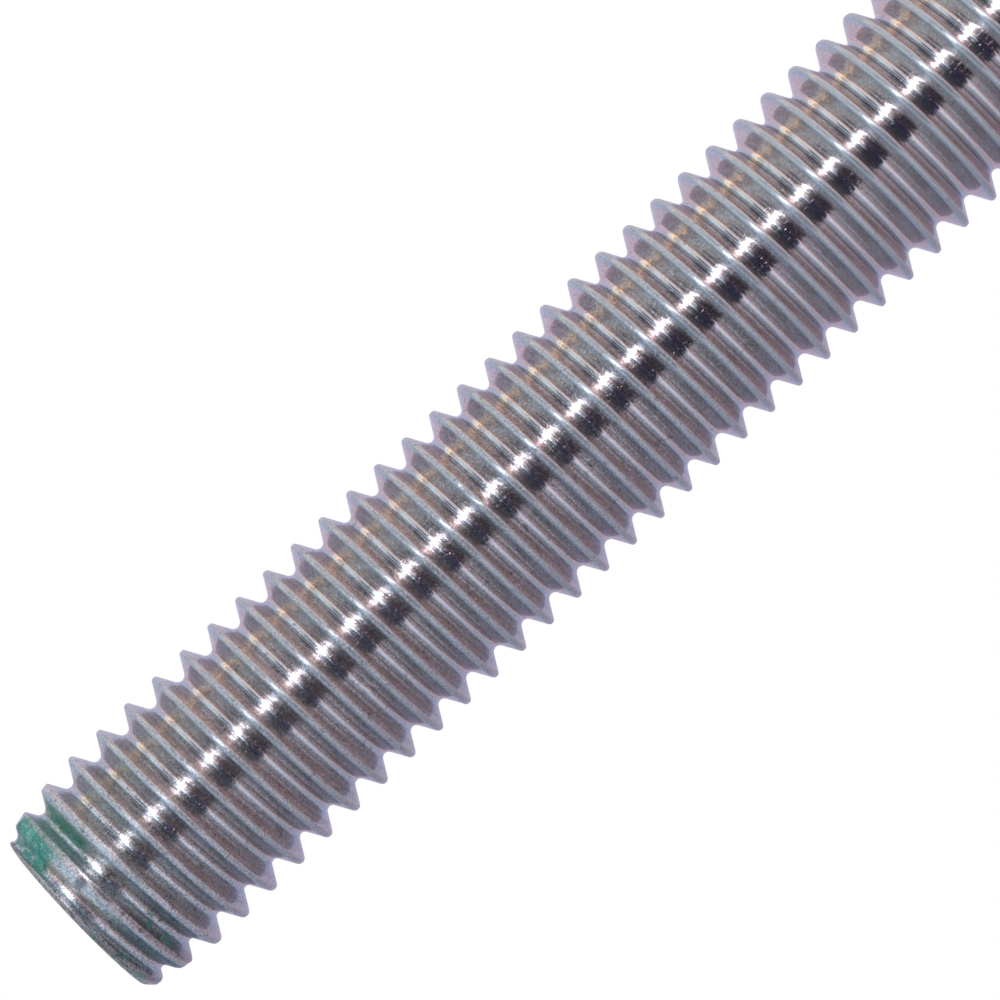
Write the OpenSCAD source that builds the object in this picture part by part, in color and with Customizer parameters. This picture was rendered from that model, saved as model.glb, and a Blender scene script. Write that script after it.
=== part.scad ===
// Metric threaded rod, cut to length: one rolled bar of stainless steel.
// The rod lies along X with its middle at the origin. The end at -X is the marked one.
// The thread is drawn in its true axial section: 60 degree flanks, flat crests and
// round roots, spaced one pitch apart, with shallow first turns on a rounded point
// at both ends.

/* [Thread] */
// Diameter over the crests, in mm
major_d = 7.76; // [7.7:0.01:7.97]
// Diameter at the bottom of the roots, in mm
root_d = 6.34; // [6.25:0.01:6.45]
// Distance between neighbouring crests, in mm
pitch = 1.25; // [1.25:0.05:1.5]
// Angle between the two flanks of a groove, in degrees
flank_angle = 60; // [55:1:60]
// Radius at the bottom of a groove, in mm
root_radius = 0.2; // [0.16:0.01:0.21]

/* [Rod] */
// Number of pitches from end face to end face
turns = 96; // [24:2:160]

/* [Ends] */
// Length over which the first crests rise to full height, in mm
point_length = 3; // [2:0.1:6]
// Diameter over the crests at the very end, in mm
point_d = 6.74; // [6.5:0.01:7.2]
// How full the point is: 1 is a straight cone, 2 is a round nose
point_fullness = 1.2; // [1:0.1:2.5]
// Broken edge around the end face, in mm
edge_break = 0.2; // [0.1:0.05:0.4]

/* [Hidden] */
$fn = 96;

rod_length = turns * pitch;
crest_r = major_d / 2;
root_r = root_d / 2;
point_r = point_d / 2;
half_angle = flank_angle / 2;
// centre of the circle that rounds the bottom of a groove
root_centre_r = root_r + root_radius;
// where the flanks leave that circle
tangent_r = root_centre_r - root_radius * sin(half_angle);
tangent_x = root_radius * cos(half_angle);
// a groove's half-width at radius r
function groove_half(r) = tangent_x + (r - tangent_r) * tan(half_angle);
// width of a crest between two grooves
crest_flat = pitch - 2 * groove_half(crest_r);
// the cutting section runs this far past the crests
over = 0.3;
// the point is drawn with this many straight bands
point_bands = 5;
// radius of the point at a distance from the end face
function point_at(x) =
    crest_r - (crest_r - point_r) * pow(1 - x / point_length, point_fullness);
// outline of the point, as [radius, distance from the end face]
point_outline = [
    for (i = [0 : point_bands])
        let (x = edge_break + (point_length - edge_break) * i / point_bands)
            [point_at(x), x]
];

// Half-section of the blank, as [radius, place along the rod]
module blank_section() {
    polygon(concat(
        [[0, -rod_length / 2], [point_outline[0][0] - edge_break, -rod_length / 2]],
        [for (i = [0 : point_bands])
            [point_outline[i][0], -rod_length / 2 + point_outline[i][1]]],
        [for (i = [point_bands : -1 : 0])
            [point_outline[i][0], rod_length / 2 - point_outline[i][1]]],
        [[point_outline[0][0] - edge_break, rod_length / 2], [0, rod_length / 2]]
    ));
}

// Section of one groove: straight flanks that run into a round root
module groove_section() {
    union() {
        translate([root_centre_r, 0]) circle(r = root_radius);
        polygon([
            [root_centre_r, 0],
            [tangent_r, -tangent_x],
            [crest_r + over, -groove_half(crest_r + over)],
            [crest_r + over, groove_half(crest_r + over)],
            [tangent_r, tangent_x]
        ]);
    }
}

// Grooves sit on whole pitches from the middle, so that both ends finish alike:
// each end face stands half a pitch outside its first crest
module thread_section() {
    difference() {
        blank_section();
        for (i = [-turns / 2 + 1 : turns / 2 - 1])
            translate([0, i * pitch]) groove_section();
    }
}

module threaded_rod() {
    color([0.62, 0.61, 0.60])
        rotate([0, 90, 0])
            rotate_extrude() thread_section();
}

threaded_rod();
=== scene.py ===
import math

import bpy
import numpy as np
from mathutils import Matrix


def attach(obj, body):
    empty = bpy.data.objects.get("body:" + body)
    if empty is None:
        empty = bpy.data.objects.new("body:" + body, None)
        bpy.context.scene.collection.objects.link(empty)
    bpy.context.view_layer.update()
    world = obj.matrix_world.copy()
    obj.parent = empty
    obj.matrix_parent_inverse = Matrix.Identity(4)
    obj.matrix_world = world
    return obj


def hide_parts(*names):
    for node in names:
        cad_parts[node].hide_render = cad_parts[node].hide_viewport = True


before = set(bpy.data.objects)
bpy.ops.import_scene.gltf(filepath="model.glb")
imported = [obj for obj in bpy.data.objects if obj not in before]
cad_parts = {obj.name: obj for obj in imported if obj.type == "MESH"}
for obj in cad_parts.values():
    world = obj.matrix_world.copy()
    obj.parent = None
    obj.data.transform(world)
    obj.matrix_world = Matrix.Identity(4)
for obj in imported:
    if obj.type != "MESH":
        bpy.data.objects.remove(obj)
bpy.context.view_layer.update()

# ---------------------------------------------------------------- sizes, mm
PITCH = 1.25
CREST_R = 3.862
ROOT_R = 3.135
ROOT_ARC = 0.22
HALF = math.radians(30)
HALF_LENGTH = 60.0
FIRST_CREST = 0.897          # pitches from the marked end to the crest on top
POINT_LENGTH = 3.0
POINT_R = 3.37
POINT_FULLNESS = 1.2
EDGE_BREAK = 0.2
FACE_R = POINT_R - EDGE_BREAK
CREST_ROUND = 0.13

SEGMENTS = 64                # rows per turn
FINE_TURNS = 3.2             # turns at each end with finer columns
FINE = 3

flat_half = PITCH / 2 - (ROOT_ARC * math.cos(HALF) + (CREST_R - (ROOT_R + ROOT_ARC - ROOT_ARC * math.sin(HALF))) * math.tan(HALF))
corner = CREST_ROUND * math.tan(HALF)
crest_mid = flat_half - corner          # half of what stays flat on the crest
rng = np.random.default_rng(11)


def thread_profile(offset):
    """Radius of the true thread form at an axial offset from the crest, within half a pitch."""
    o = np.abs(offset)
    arc_start = crest_mid
    arc_end = crest_mid + CREST_ROUND * math.cos(HALF)
    arc = CREST_R - CREST_ROUND + np.sqrt(np.clip(CREST_ROUND**2 - (o - arc_start) ** 2, 0, None))
    flank = CREST_R - (o - flat_half) / math.tan(HALF)
    root_from = PITCH / 2 - ROOT_ARC * math.cos(HALF)
    root = ROOT_R + ROOT_ARC - np.sqrt(np.clip(ROOT_ARC**2 - (PITCH / 2 - o) ** 2, 0, None))
    return np.where(o < arc_start, CREST_R, np.where(o < arc_end, arc, np.where(o < root_from, flank, root)))


# Marks of handling: shallow dents on crests, seeded. Each is (x, angle, size, depth), mm and radians.
dents = []
for _ in range(44):
    dents.append((rng.uniform(-58, 58), rng.uniform(-math.pi, math.pi), rng.uniform(0.10, 0.26), rng.uniform(0.015, 0.05)))
dents.append((-59.72, math.radians(-41), 0.16, 0.10))
dents.append((-59.55, math.radians(58), 0.20, 0.07))
dents.append((-59.6, math.radians(150), 0.25, 0.09))
dents.append((59.6, math.radians(-110), 0.22, 0.08))
dents.append((59.7, math.radians(35), 0.18, 0.07))


def waves(x, theta, parts, seed):
    """A smooth, seeded, periodic ripple over the rod, about -1..1."""
    g = np.random.default_rng(seed)
    total = np.zeros_like(x)
    for _ in range(parts):
        m = g.integers(0, 9)
        w = g.uniform(0.3, 4.0)
        total = total + np.sin(m * theta + w * x + g.uniform(0, 2 * math.pi))
    return total / math.sqrt(parts)


def smooth_min(a, b, k):
    h = np.clip(0.5 + 0.5 * (b - a) / k, 0, 1)
    return b * (1 - h) + a * h - k * h * (1 - h)


def height(x, theta):
    """Radius of the rod's surface at x (mm) and angle theta about +X, from +Z towards -Y."""
    phase = (x + HALF_LENGTH) / PITCH - FIRST_CREST - theta / (2 * math.pi)
    offset = (phase - np.round(phase)) * PITCH
    r = thread_profile(offset)
    # crests are never quite full or even
    worn = CREST_R - 0.003 - 0.005 * (1 + waves(x, theta, 7, 3)) / 2
    r = smooth_min(r, worn, 0.01)
    # the point at each end
    away = HALF_LENGTH - np.abs(x)
    along = np.clip(away / POINT_LENGTH, 0, 1)
    ragged = 0.018 * waves(2.2 * x, theta, 9, 5) * np.clip(1.6 - away / 1.2, 0, 1)
    envelope = CREST_R + 0.01 - (CREST_R - POINT_R) * (1 - along) ** POINT_FULLNESS + ragged
    near = away < POINT_LENGTH + 0.2
    r = np.where(near, smooth_min(r, envelope, 0.06), r)
    r = np.where(near, smooth_min(r, FACE_R + np.clip(away, 0, None) * 1.02 + 0.01, 0.05), r)
    for dx, dt, size, depth in dents:
        turn = (theta - dt + math.pi) % (2 * math.pi) - math.pi
        q = ((x - dx) ** 2 + (turn * CREST_R) ** 2) / size**2
        r = r - depth * np.exp(-q * 1.5)
    return r


# ---------------------------------------------------------------- the thread's mesh
def columns():
    """Axial offsets of the mesh columns over one pitch, from root to root."""
    offs = []
    for a in (-60, -32):
        offs.append(-crest_mid + CREST_ROUND * math.sin(math.radians(a)))
    offs.append(0.0)
    for a in (32, 60):
        offs.append(crest_mid + CREST_ROUND * math.sin(math.radians(a)))
    root = [PITCH / 2 - ROOT_ARC * math.sin(math.radians(a)) for a in (60, 32)]
    middle = (offs[-1] + root[0]) / 2
    half = [middle] + root + [PITCH / 2]
    return np.array(sorted([-h for h in half] + offs + half))


coarse = columns()
steps = len(coarse) - 1
fine = np.interp(np.arange(steps * FINE + 1) / FINE, np.arange(steps + 1), coarse)

first = int(math.floor((-FIRST_CREST - 0.6) * SEGMENTS))
last = int(math.ceil((2 * HALF_LENGTH / PITCH - FIRST_CREST + 0.6) * SEGMENTS))
end_a = int((-FIRST_CREST + FINE_TURNS) * SEGMENTS)
end_b = int((2 * HALF_LENGTH / PITCH - FIRST_CREST - FINE_TURNS) * SEGMENTS)

rows = np.arange(first, last + SEGMENTS + 1)
is_fine = (rows <= end_a) | (rows >= end_b)
counts = np.where(is_fine, steps * FINE, steps)
starts = np.concatenate([[0], np.cumsum(counts)])
row_of = np.repeat(np.arange(len(rows)), counts)
col_of = np.arange(starts[-1]) - starts[:-1][row_of]
off_of = np.where(is_fine[row_of], fine[np.minimum(col_of, len(fine) - 1)], coarse[np.minimum(col_of, steps)])
turn_of = rows[row_of] / SEGMENTS
theta_of = 2 * math.pi * (rows[row_of] % SEGMENTS) / SEGMENTS
x_of = -HALF_LENGTH + PITCH * (FIRST_CREST + turn_of) + off_of


def vid(row, col):
    """Index of the vertex in a row (an index into rows) and column; the last column is the next turn's first."""
    n = counts[row]
    wrap = col >= n
    return np.where(wrap, starts[np.minimum(row + SEGMENTS, len(rows) - 1)], starts[row] + col)


quads, quad_uv, rest, rest_uv = [], [], [], []
R = np.arange(0, last - first)
for r in R:
    t0, t1 = rows[r] / SEGMENTS, rows[r + 1] / SEGMENTS
    if counts[r] == counts[r + 1]:
        n = counts[r]
        c = np.arange(n)
        offs = fine if n == steps * FINE else coarse
        a, b = vid(r, c), vid(r, c + 1)
        d, e = vid(r + 1, c), vid(r + 1, c + 1)
        quads.append(np.stack([a, d, e, b], 1))
        q0, q1 = offs[c] / PITCH, offs[c + 1] / PITCH
        uv = np.empty((n, 4, 2))
        uv[:, 0] = np.stack([q0, np.full(n, t0)], 1)
        uv[:, 1] = np.stack([q0, np.full(n, t1)], 1)
        uv[:, 2] = np.stack([q1, np.full(n, t1)], 1)
        uv[:, 3] = np.stack([q1, np.full(n, t0)], 1)
        quad_uv.append(uv)
    else:
        for c in range(steps):
            lo, hi = [], []
            for rr, out, t in ((r, lo, t0), (r + 1, hi, t1)):
                if counts[rr] == steps:
                    cols, offs = [c, c + 1], coarse
                else:
                    cols, offs = list(range(c * FINE, c * FINE + FINE + 1)), fine
                out += [(int(vid(np.int64(rr), np.int64(k))), (offs[k] / PITCH, t)) for k in cols]
            ring = [lo[0]] + hi + lo[1:][::-1]
            rest.append([v for v, _ in ring])
            rest_uv.append([w for _, w in ring])
quads = np.concatenate(quads)
quad_uv = np.concatenate(quad_uv)

# Past each end, vertices gather on the end's circle.
low, high = x_of < -HALF_LENGTH + 1e-6, x_of > HALF_LENGTH - 1e-6
remap = np.arange(len(x_of))
ring_low, ring_high = {}, {}
for mask, ring in ((low, ring_low), (high, ring_high)):
    for i in np.nonzero(mask)[0]:
        key = int(rows[row_of[i]] % SEGMENTS)
        remap[i] = ring.setdefault(key, i)
x_of = np.clip(x_of, -HALF_LENGTH, HALF_LENGTH)
r_of = height(x_of, theta_of)
gathered = low | high
r_of[gathered] = FACE_R

flagged = gathered[quads]
plain = ~flagged.any(1)
faces = quads[plain].tolist()
uvs = quad_uv[plain].reshape(-1, 2).tolist()
sides = [0] * len(faces)
for f, w, g in list(zip(quads[~plain], quad_uv[~plain], flagged[~plain])) + [(f, w, None) for f, w in zip(rest, rest_uv)]:
    if g is not None and (g & low[f]).all() or g is not None and (g & high[f]).all():
        continue
    out, coords = [], []
    for v, c in zip(f, w):
        v = int(remap[v])
        if v not in out:
            out.append(v)
            coords.append([float(c[0]), float(c[1])])
    if len(out) >= 3:
        faces.append(out)
        uvs += coords
        sides.append(0)

verts = np.stack([x_of, -r_of * np.sin(theta_of), r_of * np.cos(theta_of)], 1)

# analytic normals of the side
eps = 0.002
inner = np.clip(x_of, -HALF_LENGTH + eps, HALF_LENGTH - eps)
drdx = (height(inner + eps, theta_of) - height(inner - eps, theta_of)) / (2 * eps)
drdt = (height(inner, theta_of + eps / 3.5) - height(inner, theta_of - eps / 3.5)) / (2 * eps / 3.5)
radial = np.stack([np.zeros_like(x_of), -np.sin(theta_of), np.cos(theta_of)], 1)
around = np.stack([np.zeros_like(x_of), -np.cos(theta_of), -np.sin(theta_of)], 1)
axial = np.array([1.0, 0, 0])
normals = radial - drdx[:, None] * axial - (drdt / r_of)[:, None] * around
normals /= np.linalg.norm(normals, axis=1, keepdims=True)

# end faces: rings of a sheared and lightly faced end
extra = []
extra_n = []
base_count = len(verts)
for sign, ring in ((-1, ring_low), (1, ring_high)):
    loop = [ring[k] for k in range(SEGMENTS)]
    prev = loop
    for i, rad in enumerate((3.02, 2.3, 1.5, 0.7)):
        new = []
        for k in range(SEGMENTS):
            t = 2 * math.pi * k / SEGMENTS
            extra.append([sign * HALF_LENGTH, -rad * math.sin(t), rad * math.cos(t)])
            new.append(base_count + len(extra) - 1)
        for k in range(SEGMENTS):
            k2 = (k + 1) % SEGMENTS
            quad = [prev[k], prev[k2], new[k2], new[k]]
            faces.append(quad if sign > 0 else quad[::-1])
            uvs += [[0.0, 0.0]] * 4
            sides.append(sign)
        prev = new
    extra.append([sign * HALF_LENGTH, 0, 0])
    centre = base_count + len(extra) - 1
    for k in range(SEGMENTS):
        k2 = (k + 1) % SEGMENTS
        tri = [prev[k], prev[k2], centre]
        faces.append(tri if sign > 0 else tri[::-1])
        uvs += [[0.0, 0.0]] * 3
        sides.append(sign)
verts = np.concatenate([verts, np.array(extra)])
normals = np.concatenate([normals, np.tile([1.0, 0, 0], (len(extra), 1))])

# drop what no face uses
used = np.zeros(len(verts), bool)
flat = np.concatenate([np.array(f) for f in faces])
used[flat] = True
new_index = np.cumsum(used) - 1
lengths = np.array([len(f) for f in faces])
corner_vert = new_index[flat]
corner_side = np.repeat(np.array(sides), lengths)
corner_normal = normals[flat]
corner_normal[corner_side != 0] = 0
corner_normal[corner_side != 0, 0] = corner_side[corner_side != 0]
verts = verts[used]

mesh = bpy.data.meshes.new("rod_thread")
mesh.vertices.add(len(verts))
mesh.vertices.foreach_set("co", (verts * 0.001).astype(np.float32).ravel())
mesh.loops.add(len(corner_vert))
mesh.loops.foreach_set("vertex_index", corner_vert.astype(np.int32))
mesh.polygons.add(len(faces))
loop_start = np.concatenate([[0], np.cumsum(lengths)[:-1]])
mesh.polygons.foreach_set("loop_start", loop_start.astype(np.int32))
mesh.update(calc_edges=True)
mesh.polygons.foreach_set("use_smooth", np.ones(len(faces), bool))
layer = mesh.uv_layers.new(name="thread")
layer.uv.foreach_set("vector", np.array(uvs, np.float32).ravel())

# A second map, without overlaps, that textures can be baked through: the thread
# unrolled with one strip a turn, then the two end faces as discs.
GAP = 0.14
across = np.linspace(-0.5, 0.5, 401)
developed = np.concatenate([[0], np.cumsum(np.hypot(np.diff(across) * PITCH, np.diff(thread_profile(across * PITCH))))])
unrolled = 2 * math.pi * 3.5
coords = np.array(uvs, float)
strip_of = np.repeat(np.floor(np.minimum.reduceat(coords[:, 1], loop_start) + 1e-6), lengths)
place = strip_of - strip_of[corner_side == 0].min()
strips = int(place[corner_side == 0].max()) + 1
lines_up = math.ceil(strips / 3)
flat_x = (place % 3) * (unrolled + GAP) + (coords[:, 1] - strip_of) * unrolled
flat_y = (place // 3) * (developed[-1] + GAP) + np.interp(coords[:, 0], across, developed)
top = lines_up * (developed[-1] + GAP)
for sign, centre_x in ((-1, FACE_R + GAP), (1, 3 * FACE_R + 3 * GAP)):
    on = corner_side == sign
    flat_x[on] = centre_x + verts[corner_vert[on], 2]
    flat_y[on] = top + FACE_R + GAP - sign * verts[corner_vert[on], 1]
size = max(3 * (unrolled + GAP), top + 2 * (FACE_R + GAP)) + 2 * GAP
bake_map = mesh.uv_layers.new(name="OFBake", do_init=False)
bake_map.uv.foreach_set("vector", ((np.stack([flat_x, flat_y], 1) + GAP) / size).astype(np.float32).ravel())
mesh.uv_layers.active = mesh.uv_layers["thread"]
mesh.uv_layers["thread"].active_render = True
mesh.validate(verbose=True)
mesh.normals_split_custom_set(corner_normal.tolist())
mesh.update()

rod = bpy.data.objects.new("rod_thread", mesh)
bpy.context.scene.collection.objects.link(rod)
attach(rod, "root")
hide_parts("threaded_rod")


# ---------------------------------------------------------------- node helpers
class Nodes:
    def __init__(self, tree):
        self.tree = tree
        tree.nodes.clear()
        self.x = 0

    def new(self, kind, **props):
        node = self.tree.nodes.new(kind)
        self.x += 40
        node.location = (self.x, -(self.x % 600))
        for k, v in props.items():
            setattr(node, k, v)
        return node

    def link(self, a, b):
        self.tree.links.new(a, b)

    def put(self, socket, value):
        if hasattr(value, "is_output"):
            self.link(value, socket)
        else:
            socket.default_value = value

    def math(self, op, a, b=0.0, c=None, clamp=False):
        node = self.new("ShaderNodeMath", operation=op, use_clamp=clamp)
        self.put(node.inputs[0], a)
        self.put(node.inputs[1], b)
        if c is not None:
            self.put(node.inputs[2], c)
        return node.outputs[0]

    def vmath(self, op, a, b=(0, 0, 0)):
        node = self.new("ShaderNodeVectorMath", operation=op)
        self.put(node.inputs[0], a)
        self.put(node.inputs[1], b)
        return node.outputs["Value" if op in ("DOT_PRODUCT", "LENGTH", "DISTANCE") else 0]

    def combine(self, x, y, z):
        node = self.new("ShaderNodeCombineXYZ")
        for i, v in enumerate((x, y, z)):
            self.put(node.inputs[i], v)
        return node.outputs[0]

    def separate(self, v):
        node = self.new("ShaderNodeSeparateXYZ")
        self.link(v, node.inputs[0])
        return node.outputs

    def noise(self, vector, scale=1.0, detail=2.0, roughness=0.5, distortion=0.0):
        node = self.new("ShaderNodeTexNoise")
        self.link(vector, node.inputs["Vector"])
        node.inputs["Scale"].default_value = scale
        node.inputs["Detail"].default_value = detail
        node.inputs["Roughness"].default_value = roughness
        node.inputs["Distortion"].default_value = distortion
        return node.outputs[0]

    def smooth(self, v, lo, hi, a=0.0, b=1.0):
        node = self.new("ShaderNodeMapRange", interpolation_type="SMOOTHSTEP")
        self.put(node.inputs[0], v)
        for i, n in enumerate((lo, hi, a, b)):
            self.put(node.inputs[i + 1], n)
        return node.outputs[0]

    def ramp(self, v, stops, mode="LINEAR"):
        node = self.new("ShaderNodeValToRGB")
        self.link(v, node.inputs[0])
        cr = node.color_ramp
        cr.interpolation = mode
        while len(cr.elements) > 1:
            cr.elements.remove(cr.elements[-1])
        for i, (p, c) in enumerate(stops):
            e = cr.elements[0] if i == 0 else cr.elements.new(p)
            e.position = p
            e.color = tuple(c) + (1,) if len(c) == 3 else c
        return node.outputs[0]

    def mix(self, f, a, b, blend="MIX"):
        node = self.new("ShaderNodeMix", data_type="RGBA", blend_type=blend)
        self.put(node.inputs[0], f)
        for i, v in ((6, a), (7, b)):
            if isinstance(v, tuple) and len(v) == 3:
                v = v + (1.0,)
            self.put(node.inputs[i], v)
        return node.outputs[2]

    def bump(self, height, distance, strength=1.0, normal=None):
        node = self.new("ShaderNodeBump")
        node.inputs["Strength"].default_value = strength
        node.inputs["Distance"].default_value = distance
        self.link(height, node.inputs["Height"])
        if normal is not None:
            self.link(normal, node.inputs["Normal"])
        return node.outputs[0]


# ---------------------------------------------------------------- steel
# Remnants of green paint at the marked end: (mm from the end, degrees from the top, half length mm, half arc mm, depth of colour)
paint_spots = [
    (0.34, 36, 0.08, 0.12, 1.0),
    (1.60, 34, 0.09, 0.18, 1.0),
    (1.86, 32, 0.07, 0.13, 0.9),
    (1.69, 50, 0.14, 0.32, 0.8),
    (0.21, 58, 0.10, 0.25, 0.7),
    (2.45, 9, 0.06, 0.12, 0.5),
    (2.05, -17, 0.05, 0.08, 0.5),
    (0.55, 118, 0.30, 1.10, 0.9),
    (1.75, 128, 0.16, 0.80, 0.8),
    (0.45, 176, 0.20, 0.50, 0.8),
    (1.05, -128, 0.35, 0.70, 0.9),
    (2.10, -116, 0.14, 0.50, 0.7),
    (0.30, -160, 0.12, 0.40, 0.8),
]


def steel():
    mat = bpy.data.materials.new("stainless_thread")
    mat.use_nodes = True
    n = Nodes(mat.node_tree)
    out = n.new("ShaderNodeOutputMaterial")
    shader = n.new("ShaderNodeBsdfPrincipled")
    n.link(shader.outputs[0], out.inputs[0])

    uv = n.new("ShaderNodeUVMap")
    uv.uv_map = "thread"
    u, v, _ = n.separate(uv.outputs[0])      # u: pitches from the crest, -0.5..0.5; v: turns
    place = n.new("ShaderNodeTexCoord").outputs["Object"]
    px, py, pz = n.separate(place)
    phi = n.math("MULTIPLY", u, 2 * math.pi)
    cphi, sphi = n.math("COSINE", phi), n.math("SINE", phi)

    def helical(around, along):
        return n.combine(n.math("MULTIPLY", cphi, around), n.math("MULTIPLY", sphi, around), n.math("MULTIPLY", v, along))

    def window(value, low, high, soft):
        return n.math("MULTIPLY", n.smooth(value, low - soft, low + soft), n.smooth(value, high - soft, high + soft, 1.0, 0.0))

    def most(a, b):
        return n.math("MAXIMUM", a, b)

    from_end = n.math("MULTIPLY", n.math("ADD", px, 0.06), 1000.0)          # mm from the marked end
    to_end = n.math("SUBTRACT", 60.0, n.math("ABSOLUTE", n.math("MULTIPLY", px, 1000.0)))
    around = n.math("MULTIPLY", n.math("ARCTAN2", n.math("MULTIPLY", py, -1.0), pz), 180 / math.pi)  # 0 on top, + towards -Y
    radius = n.math("MULTIPLY", n.math("SQRT", n.math("ADD", n.math("MULTIPLY", py, py), n.math("MULTIPLY", pz, pz))), 1000.0)

    # the crest is wider where the point was cut across it
    cut = n.math("POWER", n.math("SUBTRACT", 1.0, n.math("DIVIDE", to_end, POINT_LENGTH), clamp=True), POINT_FULLNESS)
    far = n.smooth(n.math("ABSOLUTE", around), 115.0, 165.0, 0.0, 0.31)
    left = n.math("ADD", n.math("MULTIPLY", cut, most(n.smooth(around, -8.0, 28.0, 0.25, -0.06), far)), 0.107)
    right = n.math("ADD", n.math("MULTIPLY", cut, n.smooth(around, -20.0, 0.0, 0.08, -0.03)), 0.098)
    slim = n.math("MULTIPLY", n.smooth(from_end, 2.0, 9.0, 0.038, 0.0), n.smooth(around, -30.0, 26.0, 0.35, 1.0))
    left = n.math("SUBTRACT", left, slim)
    right = n.math("SUBTRACT", right, slim)
    crest = n.math("MULTIPLY", n.smooth(n.math("ADD", u, left), -0.022, 0.022), n.smooth(n.math("SUBTRACT", u, right), -0.022, 0.022, 1.0, 0.0))
    shoulder = window(u, 0.06, 0.24, 0.045)
    root = n.smooth(n.math("ABSOLUTE", u), 0.40, 0.46, 0.0, 1.0)
    wear = n.smooth(to_end, 0.8, 6.5, 1.0, 0.0)
    rim = n.smooth(to_end, 0.10, 0.20, 1.0, 0.0)
    dull = n.smooth(to_end, 0.6, 3.4, 1.0, 0.0)
    face = n.math("LESS_THAN", to_end, 0.004)

    # fine marks: lines drawn along the helix by the dies, chatter across it, and pits
    lines = n.noise(helical(4.6, 5.0), 1.0, 2.0, 0.6)
    chatter = n.noise(helical(1.1, 420.0), 1.0, 2.0, 0.6)
    pits = n.noise(place, 12000.0, 2.0, 0.65)
    grain = n.noise(place, 25000.0, 1.0, 0.5)
    stain = n.noise(place, 900.0, 4.0, 0.6)
    ragged = n.noise(place, 3800.0, 4.0, 0.7)
    nick = n.smooth(n.noise(helical(0.9, 300.0), 1.0, 1.0, 0.5), 0.68, 0.79)
    dirt = n.smooth(n.noise(place, 2600.0, 2.0, 0.5), 0.655, 0.715)
    fleck = n.noise(place, 9000.0, 1.0, 0.5)
    turning = n.noise(n.combine(n.math("MULTIPLY", radius, 9.0), 0.0, 0.0), 1.0, 3.0, 0.6)

    # colour
    tone = n.ramp(stain, [(0.3, (0.545, 0.525, 0.520)), (0.7, (0.575, 0.565, 0.570))])
    tone = n.mix(shoulder, tone, (0.55, 0.535, 0.535))
    tone = n.mix(root, tone, (0.60, 0.595, 0.60))
    # painted shade and painted reflection colour in the grooves: a band of the right flank darker, the left flank
    # warmer, the right flank cooler, and a thin line beside the root lighter
    tone = n.mix(window(u, 0.18, 0.26, 0.035), tone, n.mix(1.0, tone, (0.86, 0.86, 0.87), "MULTIPLY"))
    tone = n.mix(window(u, -0.47, -0.17, 0.03), tone, n.mix(1.0, tone, (1.11, 1.03, 0.97), "MULTIPLY"))
    tone = n.mix(window(u, 0.21, 0.42, 0.03), tone, n.mix(1.0, tone, (0.93, 0.965, 0.99), "MULTIPLY"))
    tone = n.mix(window(u, 0.435, 0.475, 0.015), tone, n.mix(1.0, tone, (1.04, 1.07, 1.08), "MULTIPLY"))
    tone = n.mix(crest, tone, (0.46, 0.46, 0.465))
    tone = n.mix(n.math("MULTIPLY", crest, wear), tone, (0.49, 0.49, 0.50))
    # a faint painted reflection colour, warm and cool by turns across the thread, with random flecks that grow stronger
    # near the ends
    painted_reflection_hue_and_fleck = n.ramp(n.math("ADD", u, 0.5), [(q + 0.5, (w * 0.5 + 0.5,) * 3) for q, w in (
        (-0.50, 0.10), (-0.47, 0.45), (-0.43, 1.00), (-0.34, 1.00), (-0.28, 0.95), (-0.22, 0.70), (-0.17, 0.20), (-0.12, -0.60),
        (-0.08, -1.00), (-0.04, -0.65), (0.00, 0.00), (0.05, 0.50), (0.12, 0.48), (0.18, 0.25), (0.22, 0.00), (0.30, -0.60),
        (0.36, -0.85), (0.42, -0.95), (0.46, -0.60), (0.50, 0.00))])
    painted_reflection_hue_and_fleck = n.math("ADD", painted_reflection_hue_and_fleck, n.math("MULTIPLY", n.math("SUBTRACT", fleck, 0.5), n.math("ADD", n.math("MULTIPLY", wear, 0.5), 0.12)))
    tone = n.mix(1.0, tone, n.mix(painted_reflection_hue_and_fleck, (0.83, 0.995, 1.09), (1.16, 0.985, 0.950)), "MULTIPLY")
    speck = n.smooth(pits, 0.34, 0.62, 0.70, 1.13)
    speck = n.math("MULTIPLY", speck, n.smooth(grain, 0.28, 0.72, 0.70, 1.30))
    speck = n.math("MULTIPLY", speck, n.smooth(lines, 0.3, 0.7, 0.90, 1.09))
    speck = n.math("ADD", speck, n.math("MULTIPLY", n.math("SUBTRACT", 0.98, speck), n.math("MULTIPLY", root, n.smooth(to_end, 1.0, 8.0, 0.0, 0.7))))
    calm = n.math("MULTIPLY", crest, n.smooth(to_end, 3.0, 9.0, 0.0, 0.45))
    speck = n.math("ADD", speck, n.math("MULTIPLY", n.math("SUBTRACT", 0.95, speck), calm))
    rougher = most(n.math("MULTIPLY", crest, 0.4), wear)
    speck = n.math("MULTIPLY", speck, n.math("SUBTRACT", 1.0, n.math("MULTIPLY", rougher, n.smooth(pits, 0.30, 0.46, 0.30, 0.0))))
    speck = n.math("MULTIPLY", speck, n.math("SUBTRACT", 1.0, n.math("MULTIPLY", dirt, n.math("ADD", n.math("MULTIPLY", wear, 0.20), 0.35))))
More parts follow.
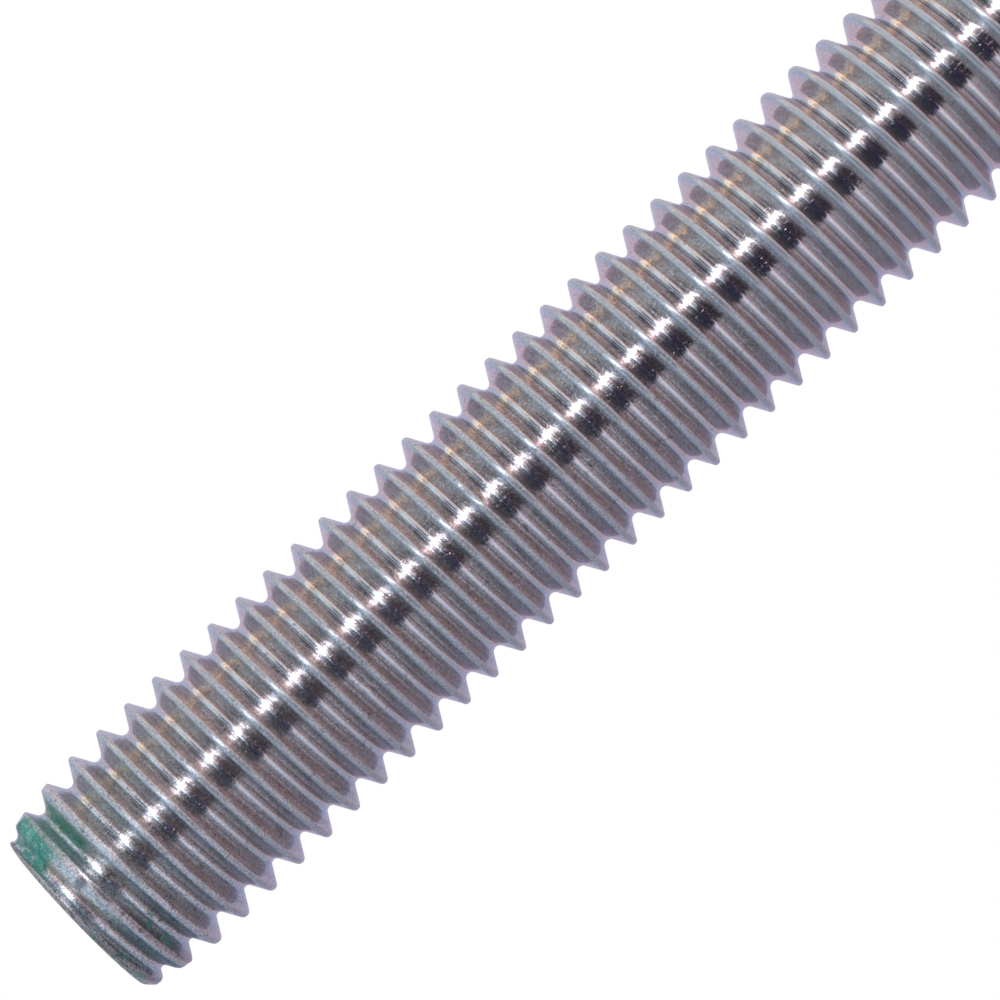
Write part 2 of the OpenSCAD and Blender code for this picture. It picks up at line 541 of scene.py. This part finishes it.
    # the surface is cleaner away from the marked end
    clean = n.smooth(from_end, 22.0, 36.0, 0.0, 1.0)
    speck = n.math("ADD", speck, n.math("MULTIPLY", n.math("SUBTRACT", 0.96, speck), n.math("MULTIPLY", clean, 0.5)))
    tone = n.mix(1.0, tone, n.combine(speck, speck, speck), "MULTIPLY")
    age = n.smooth(from_end, 6.0, 36.0, 0.965, 1.03)
    tone = n.mix(1.0, tone, n.combine(age, age, age), "MULTIPLY")
    # painted light: the rim's speck is made lighter from 12° to 50° round from the top towards -Y
    worn = n.math("MULTIPLY", speck, n.smooth(around, 12.0, 50.0, 0.88, 1.40))
    end_tone = n.ramp(turning, [(0.3, (0.40, 0.40, 0.41)), (0.7, (0.56, 0.56, 0.57))])
    end_tone = n.mix(face, n.mix(1.0, (0.37, 0.37, 0.37), n.combine(worn, worn, worn), "MULTIPLY"), end_tone)
    tone = n.mix(most(face, n.math("MULTIPLY", rim, 0.85)), tone, end_tone)

    # painted shade: near the marked end the left of the cut crest and the left flanks stay dark, bluish on the upper
    # side towards -Y and faintly all round, and the right of the cut crest is browned on that side
    painted_shade = n.math("MULTIPLY", n.math("MULTIPLY", window(u, -0.36, -0.07, 0.035), n.smooth(cut, 0.05, 0.30)), n.smooth(around, 2.0, 28.0))
    painted_shade = n.math("MULTIPLY", painted_shade, n.math("LESS_THAN", px, 0.0))
    tone = n.mix(painted_shade, tone, n.mix(1.0, tone, (0.34, 0.39, 0.46), "MULTIPLY"))
    # painted shade: the right of the cut crest browned on the upper side
    painted_shade = n.math("MULTIPLY", n.math("MULTIPLY", window(u, 0.075, 0.30, 0.03), n.smooth(cut, 0.0, 0.25)), n.smooth(around, 4.0, 26.0))
    painted_shade = n.math("MULTIPLY", painted_shade, n.math("LESS_THAN", px, 0.0))
    tone = n.mix(painted_shade, tone, n.mix(1.0, tone, (0.68, 0.62, 0.60), "MULTIPLY"))
    # painted shade: the left flanks cooled and darkened all round near the marked end
    painted_shade = n.math("MULTIPLY", window(u, -0.40, -0.08, 0.04), n.smooth(from_end, 1.5, 6.5, 1.0, 0.0))
    tone = n.mix(painted_shade, tone, n.mix(1.0, tone, (0.80, 0.93, 0.95), "MULTIPLY"))

    x = n.math("DIVIDE", n.math("SUBTRACT", from_end, 1.02), 0.26)
    y = n.math("DIVIDE", n.math("ADD", around, 10.5), 3.2)
    smudge = n.smooth(n.math("SQRT", n.math("ADD", n.math("MULTIPLY", x, x), n.math("MULTIPLY", y, y))), 0.5, 1.3, 0.9, 0.0)
    tone = n.mix(smudge, tone, n.mix(1.0, tone, (0.30, 0.31, 0.34), "MULTIPLY"))

    # paint
    warp = n.math("SUBTRACT", ragged, 0.5)
    d = n.math("ADD", from_end, n.math("MULTIPLY", warp, 0.35))
    a = n.math("ADD", around, n.math("MULTIPLY", warp, 34.0))
    bright = n.math("MULTIPLY", window(a, -80.0, -32.0, 4.0), window(d, 0.20, 1.02, 0.05))
    low = window(u, -0.49, -0.17, 0.04)
    second = n.math("MULTIPLY", n.math("MULTIPLY", window(a, -78.0, -21.0, 6.0), low), window(from_end, 1.3, 2.3, 0.05))
    thin = n.math("MULTIPLY", window(a, -72.0, -26.0, 7.0), window(d, 0.9, 1.55, 0.10))
    thin = n.math("MULTIPLY", thin, 0.68)
    third = n.math("MULTIPLY", n.math("MULTIPLY", window(a, -85.0, -30.0, 9.0), window(u, -0.42, -0.10, 0.05)), window(from_end, 2.4, 7.5, 0.6))
    thin = most(thin, n.math("MULTIPLY", third, 0.22))
    thin = most(thin, n.math("MULTIPLY", n.math("MULTIPLY", window(u, -0.42, -0.08, 0.05), n.smooth(from_end, 0.2, 6.0, 0.28, 0.0)), n.math("SUBTRACT", 1.0, crest, clamp=True)))
    edge = n.math("MULTIPLY", window(d, 0.04, 0.20, 0.04), window(a, 8.0, 70.0, 8.0))
    thin = most(thin, n.math("MULTIPLY", edge, 0.55))
    second = n.math("MULTIPLY", second, 1.0)
    spots = None
    for sd, sa, hl, ha, deep in paint_spots:
        x = n.math("DIVIDE", n.math("SUBTRACT", d, sd), hl)
        turn = n.math("WRAP", n.math("SUBTRACT", a, float(sa)), 180.0, -180.0)
        y = n.math("DIVIDE", n.math("MULTIPLY", turn, math.radians(3.5)), ha)
        r = n.math("SQRT", n.math("ADD", n.math("MULTIPLY", x, x), n.math("MULTIPLY", y, y)))
        spots = n.smooth(r, 0.8, 1.5, deep, 0.0) if spots is None else most(spots, n.smooth(r, 0.8, 1.5, deep, 0.0))
    marked = n.math("LESS_THAN", px, 0.0)
    face_paint = n.math("MULTIPLY", n.math("MULTIPLY", face, marked), n.smooth(n.noise(place, 1100.0, 5.0, 0.65), 0.43, 0.52, 0.0, 0.95))
    flakes = n.smooth(ragged, 0.30, 0.52, 0.42, 1.0)
    bright = n.math("MULTIPLY", bright, flakes)
    paint = most(most(most(bright, spots), n.math("MULTIPLY", second, flakes)), most(n.math("MULTIPLY", thin, n.smooth(ragged, 0.40, 0.60, 0.5, 1.2)), face_paint))
    vivid = most(most(bright, face_paint), n.math("MULTIPLY", spots, 0.8))
    green = n.mix(vivid, (0.055, 0.205, 0.155), n.mix(n.smooth(stain, 0.40, 0.60), (0.030, 0.225, 0.185), (0.055, 0.300, 0.235)))
    green = n.mix(1.0, green, n.combine(speck, speck, speck), "MULTIPLY")
    tone = n.mix(paint, tone, green)
    n.link(tone, shader.inputs["Base Color"])
    bare = n.math("SUBTRACT", 1.0, n.math("MULTIPLY", paint, 0.92), clamp=True)
    bare = n.math("MULTIPLY", bare, n.math("SUBTRACT", 1.0, n.math("MULTIPLY", crest, n.math("ADD", 0.48, n.math("MULTIPLY", wear, 0.2)))))
    bare = n.math("MULTIPLY", bare, n.math("SUBTRACT", 1.0, n.math("ADD", n.math("MULTIPLY", window(u, 0.06, 0.34, 0.05), 0.05), n.math("ADD", n.math("MULTIPLY", root, -0.03), n.math("ADD", n.math("MULTIPLY", dull, 0.12), 0.03)))))
    bare = n.math("SUBTRACT", bare, n.smooth(from_end, 5.0, 30.0, 0.050, 0.0), clamp=True)
    n.link(bare, shader.inputs["Metallic"])
    shader.inputs["Specular Tint"].default_value = (0.82, 0.82, 0.85, 1.0)

    rough = n.math("ADD", n.math("MULTIPLY", crest, 0.090), n.smooth(from_end, 6.0, 32.0, 0.122, 0.086))
    rough = n.math("ADD", rough, n.math("MULTIPLY", n.smooth(fleck, 0.50, 0.68, 0.0, 0.105), n.math("SUBTRACT", 1.0, n.math("MULTIPLY", clean, 0.4))))
    rough = n.math("ADD", rough, n.math("MULTIPLY", lines, 0.03))
    rough = n.math("ADD", rough, n.math("MULTIPLY", shoulder, 0.02))
    rough = n.math("ADD", rough, n.math("ADD", n.math("MULTIPLY", wear, 0.02), n.math("MULTIPLY", dull, 0.05)))
    rough = n.math("ADD", rough, n.math("MULTIPLY", n.math("MULTIPLY", crest, wear), 0.15))
    rough = n.math("ADD", rough, n.math("MULTIPLY", most(face, rim), 0.34))
    rough = n.math("ADD", rough, n.math("MULTIPLY", paint, 0.25))
    n.link(rough, shader.inputs["Roughness"])

    keep = n.math("SUBTRACT", 1.0, n.math("MULTIPLY", clean, 0.6))
    b = n.bump(n.math("MULTIPLY", lines, keep), 0.00000025)
    b = n.bump(n.math("MULTIPLY", chatter, keep), 0.00000035, 1.0, b)
    b = n.bump(n.math("MULTIPLY", nick, n.smooth(n.math("ABSOLUTE", u), 0.12, 0.25)), 0.0000030, 1.0, b)
    b = n.bump(n.math("MULTIPLY", pits, n.math("ADD", n.math("MULTIPLY", rougher, 16.0), 1.0)), 0.00000022, 1.0, b)
    b = n.bump(n.math("MULTIPLY", turning, face), 0.000006, 1.0, b)
    n.link(b, shader.inputs["Normal"])
    return mat


mesh.materials.append(steel())

# ---------------------------------------------------------------- floor
floor_mesh = bpy.data.meshes.new("floor")
s = 0.6
z = -0.00388
floor_mesh.from_pydata([(-s, -s, z), (s, -s, z), (s, s, z), (-s, s, z)], [], [(0, 1, 2, 3)])
floor = bpy.data.objects.new("floor", floor_mesh)
bpy.context.scene.collection.objects.link(floor)
mat = bpy.data.materials.new("pale_floor")
mat.use_nodes = True
n = Nodes(mat.node_tree)
out = n.new("ShaderNodeOutputMaterial")
glow = n.new("ShaderNodeEmission")
path = n.new("ShaderNodeLightPath")
spot = n.separate(n.new("ShaderNodeNewGeometry").outputs["Position"])
reach = n.math("MULTIPLY", spot[1], 1000.0)


def across(mm):
    return mm / 100 + 0.5


bounce = n.ramp(n.math("ADD", n.math("DIVIDE", reach, 100.0), 0.5), [
    (across(-50), (0.50, 0.49, 0.61)),
    (across(-9), (0.50, 0.49, 0.61)),
    (across(-5.5), (0.60, 0.57, 0.76)),
    (across(0), (0.62, 0.59, 0.79)),
    (across(5.5), (0.76, 0.73, 0.92)),
    (across(9), (0.72, 0.71, 0.86)),
    (across(12), (0.71, 0.71, 0.82)),
    (across(19), (0.77, 0.73, 0.76)),
    (across(30), (0.76, 0.72, 0.72)),
    (across(50), (0.75, 0.71, 0.71)),
])
stripe = n.smooth(n.math("ABSOLUTE", n.math("SUBTRACT", reach, 16.0)), 1.8, 3.2, 1.0, 0.0)
bounce = n.mix(stripe, bounce, (1.27, 1.24, 1.16))
stripe = n.smooth(n.math("ABSOLUTE", n.math("SUBTRACT", reach, 22.5)), 1.0, 3.0, 1.0, 0.0)
bounce = n.mix(stripe, bounce, (2.30, 1.65, 0.95))
n.link(n.mix(path.outputs["Is Camera Ray"], bounce, (1.0, 1.0, 1.0)), glow.inputs["Color"])
glow.inputs["Strength"].default_value = 1.0
n.link(glow.outputs[0], out.inputs[0])
floor_mesh.materials.append(mat)

# ---------------------------------------------------------------- light
world = bpy.data.worlds.new("studio")
bpy.context.scene.world = world
world.use_nodes = True
n = Nodes(world.node_tree)
out = n.new("ShaderNodeOutputWorld")
back = n.new("ShaderNodeBackground")
ray = n.new("ShaderNodeTexCoord").outputs["Generated"]
dx, dy, dz = n.separate(ray)
side = n.math("ARCTAN2", n.math("MULTIPLY", dy, -1.0), dz)      # 0 overhead, + towards -Y
side = n.math("MULTIPLY", side, 180 / math.pi)
tilt = n.math("MULTIPLY", n.math("ARCSINE", dx), 180 / math.pi)  # angle out of the rod's cross plane


def at(degrees):
    return degrees / 360 + 0.5


soft = n.ramp(n.math("ADD", n.math("DIVIDE", side, 360.0), 0.5), [
    (at(-92), (0.72, 0.76, 0.82)),
    (at(-82), (0.95, 1.08, 1.16)),
    (at(-66), (0.85, 0.89, 0.935)),
    (at(-54), (0.76, 0.79, 0.83)),
    (at(-38), (0.69, 0.73, 0.80)),
    (at(20), (0.88, 0.88, 1.01)),
    (at(35), (0.77, 0.81, 0.95)),
    (at(50), (0.67, 0.71, 0.84)),
    (at(66), (0.59, 0.61, 0.72)),
    (at(92), (0.54, 0.54, 0.65)),
])


def patch(middle_side, half_side, edge_side, middle_tilt, half_tilt, edge_tilt):
    """1 within a patch of the sky, 0 outside, in degrees."""
    a = n.smooth(n.math("ABSOLUTE", n.math("SUBTRACT", side, middle_side)), half_side - edge_side, half_side + edge_side, 1.0, 0.0)
    b = n.smooth(n.math("ABSOLUTE", n.math("SUBTRACT", tilt, middle_tilt)), half_tilt - edge_tilt, half_tilt + edge_tilt, 1.0, 0.0)
    return n.math("MULTIPLY", a, b)


# the near side falls off towards both ends of the rod
fall = n.smooth(n.math("ABSOLUTE", tilt), 14.0, 27.0, 0.0, 1.0)
fall = n.math("MULTIPLY", fall, n.smooth(side, 14.0, 26.0))
soft = n.mix(fall, soft, n.mix(1.0, soft, (0.74, 0.68, 0.67), "MULTIPLY"))
soft = n.mix(patch(-82.0, 20.0, 8.0, -34.0, 18.0, 8.0), soft, (0.91, 0.86, 0.85))
soft = n.mix(n.math("MULTIPLY", n.smooth(n.math("ABSOLUTE", tilt), 38.0, 56.0), n.smooth(side, -16.0, -30.0)), soft, n.mix(1.0, soft, (1.4, 1.4, 1.4), "MULTIPLY"))
soft = n.mix(patch(50.0, 30.0, 3.0, 0.0, 9.0, 2.0), soft, n.mix(1.0, soft, (1.13, 1.13, 1.13), "MULTIPLY"))
soft = n.mix(patch(-47.0, 10.5, 2.5, 13.2, 12.4, 1.2), soft, (0.15, 0.18, 0.26))
# the dark opening that the camera looks through, and the lamp beside it
opening = n.math("MULTIPLY", n.smooth(side, -20.0, -9.0), n.smooth(side, 16.6, 18.9, 1.0, 0.0))
opening = n.math("MULTIPLY", opening, n.smooth(n.math("ABSOLUTE", tilt), 44.0, 56.0, 1.0, 0.0))
soft = n.mix(opening, soft, (0.036, 0.032, 0.068))
light = n.mix(patch(-26.4, 5.0, 1.2, 0.0, 9.0, 5.0), soft, (3.2, 3.3, 3.6))
light = n.mix(patch(-26.6, 2.5, 1.4, 0.0, 45.0, 8.0), light, (10.5, 10.6, 11.5))
n.link(n.mix(n.new("ShaderNodeLightPath").outputs["Is Camera Ray"], light, (1.0, 1.0, 1.0)), back.inputs["Color"])
back.inputs["Strength"].default_value = 1.0
n.link(back.outputs[0], out.inputs[0])

scene = bpy.context.scene
scene.view_settings.view_transform = "Standard"
scene.cycles.max_bounces = 12
scene.cycles.glossy_bounces = 12
scene.cycles.diffuse_bounces = 3

# ---------------------------------------------------------------- camera
axis = np.array([0.999768, 0.001718, 0.02146])
e1 = np.array([0.021462, -0.001165, -0.999769])
e2 = np.cross(axis, e1)


def to_world(c):
    return np.array([c @ axis, -(c @ e2), c @ e1])


turn = math.radians(43.849376671890816)
right = to_world(np.array([math.cos(turn), math.sin(turn), 0.0]))
ahead = to_world(np.array([0.0, 0.0, 1.0]))
ahead /= np.linalg.norm(ahead)
right -= ahead * (right @ ahead)
right /= np.linalg.norm(right)
up = np.cross(right, ahead)
cam = bpy.data.cameras.new("camera")
cam.sensor_width = 36.0
cam.lens = 209.25
cam.clip_start = 0.01
cam.clip_end = 20.0
eye = bpy.data.objects.new("camera", cam)
bpy.context.scene.collection.objects.link(eye)
from mathutils import Matrix

m = Matrix.Identity(4)
for i in range(3):
    m[i][0], m[i][1], m[i][2] = float(right[i]), float(up[i]), float(-ahead[i])
m[0][3], m[1][3], m[2][3] = -0.0448481, 0.0, 0.1893977
eye.matrix_world = m
scene.camera = eye
